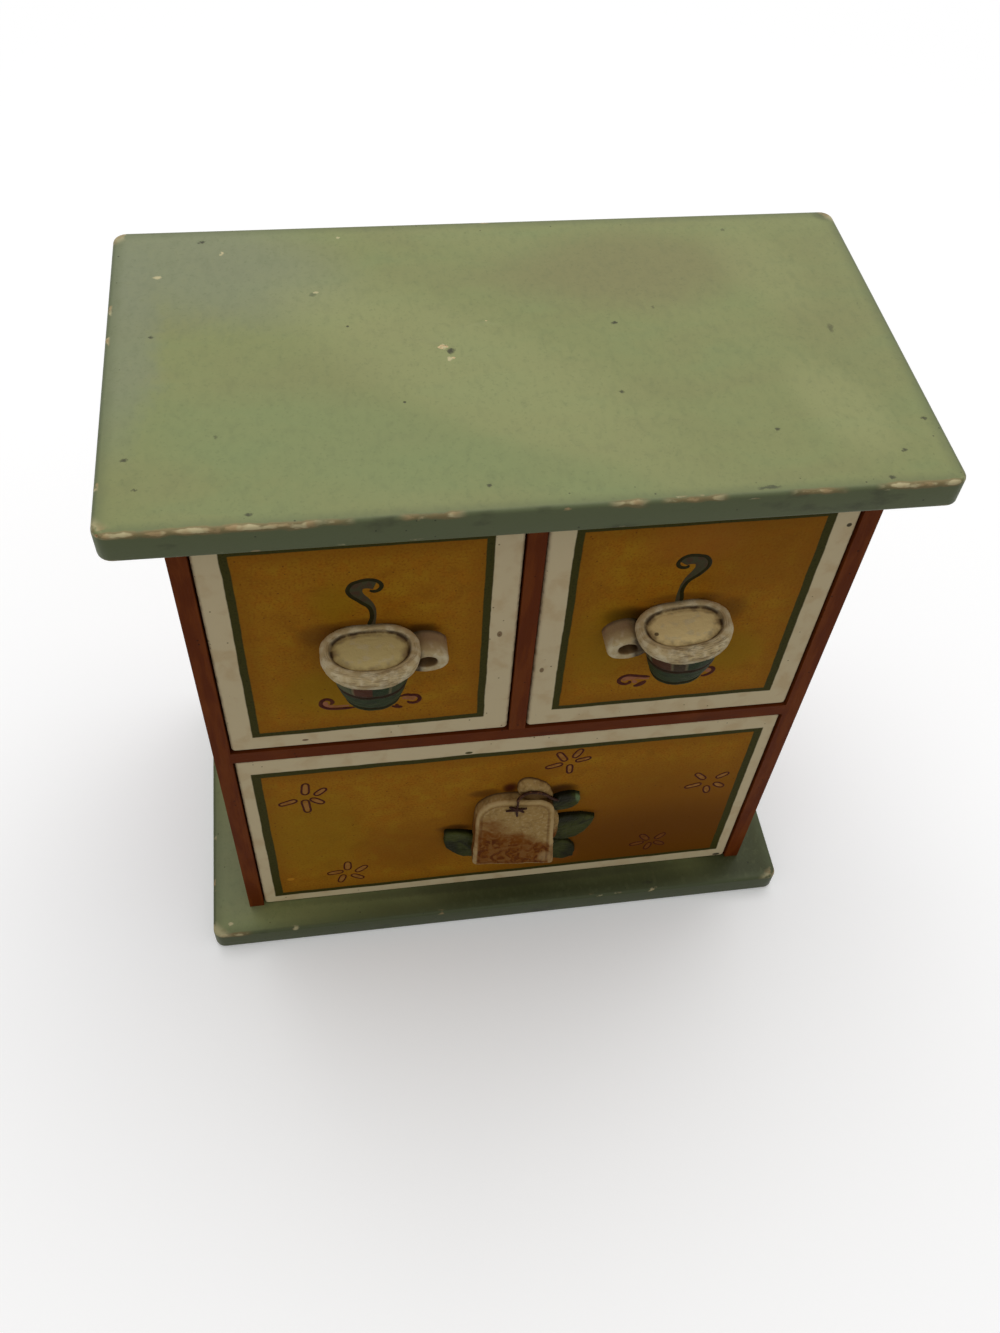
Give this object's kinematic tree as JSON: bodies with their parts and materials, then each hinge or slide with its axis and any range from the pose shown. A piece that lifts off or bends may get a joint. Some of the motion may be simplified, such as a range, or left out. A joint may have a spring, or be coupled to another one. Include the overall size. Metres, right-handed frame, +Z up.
{
  "type": "tabletop drawer cabinet",
  "caption": "Small painted wooden tea cabinet: upper drawers side by side with cup-shaped knobs over a wide lower drawer with a tag-shaped knob.",
  "frame": {"origin": "middle of the base board's flat underside", "axes": "+Z up, -Y towards the drawer fronts, +X to the right of someone facing the drawers"},
  "size_m": [0.2286, 0.1367, 0.235],
  "materials": {
    "green_paint": "sage green paint, rubbed through at the edges",
    "red_brown_paint": "matt red-brown paint",
    "drawer_front_paint": "mustard panel with a dark green line and a cream border",
    "bare_wood": "unpainted pale softwood",
    "hardboard": "thin brown hardboard",
    "steel": "bright steel",
    "cup_resin": "cast resin, painted cream with a dark wash",
    "tag_resin": "cast resin, painted cream and green with a dark wash"
  },
  "bodies": {
    "cabinet": {"top_board": "green_paint", "base_board": "green_paint", "case_left_side": "red_brown_paint", "case_right_side": "red_brown_paint", "middle_shelf": "red_brown_paint", "centre_divider": "red_brown_paint", "back_panel": "hardboard", "top_dowels": "bare_wood", "base_nails": "steel", "shelf_nails": "steel", "divider_nails": "steel", "back_panel_pins": "steel"},
    "upper_left_drawer": {"upper_left_drawer_front": "drawer_front_paint", "upper_left_drawer_left_side": "bare_wood", "upper_left_drawer_right_side": "bare_wood", "upper_left_drawer_back": "bare_wood", "upper_left_drawer_bottom": "hardboard", "upper_left_drawer_knob": "cup_resin", "upper_left_drawer_knob_screw": "steel", "upper_left_drawer_pins": "steel"},
    "upper_right_drawer": {"upper_right_drawer_front": "drawer_front_paint", "upper_right_drawer_left_side": "bare_wood", "upper_right_drawer_right_side": "bare_wood", "upper_right_drawer_back": "bare_wood", "upper_right_drawer_bottom": "hardboard", "upper_right_drawer_knob": "cup_resin", "upper_right_drawer_knob_screw": "steel", "upper_right_drawer_pins": "steel"},
    "lower_drawer": {"lower_drawer_front": "drawer_front_paint", "lower_drawer_left_side": "bare_wood", "lower_drawer_right_side": "bare_wood", "lower_drawer_back": "bare_wood", "lower_drawer_bottom": "hardboard", "lower_drawer_knob": "tag_resin", "lower_drawer_knob_screw": "steel", "lower_drawer_pins": "steel"}
  },
  "joints": [
    {"name": "upper_left_drawer_slide", "type": "slide", "parent": "cabinet", "child": "upper_left_drawer", "axis": [0, -1, 0], "range_m": [0, 0.085]},
    {"name": "upper_right_drawer_slide", "type": "slide", "parent": "cabinet", "child": "upper_right_drawer", "axis": [0, -1, 0], "range_m": [0, 0.085]},
    {"name": "lower_drawer_slide", "type": "slide", "parent": "cabinet", "child": "lower_drawer", "axis": [0, -1, 0], "range_m": [0, 0.085]}
  ]
}
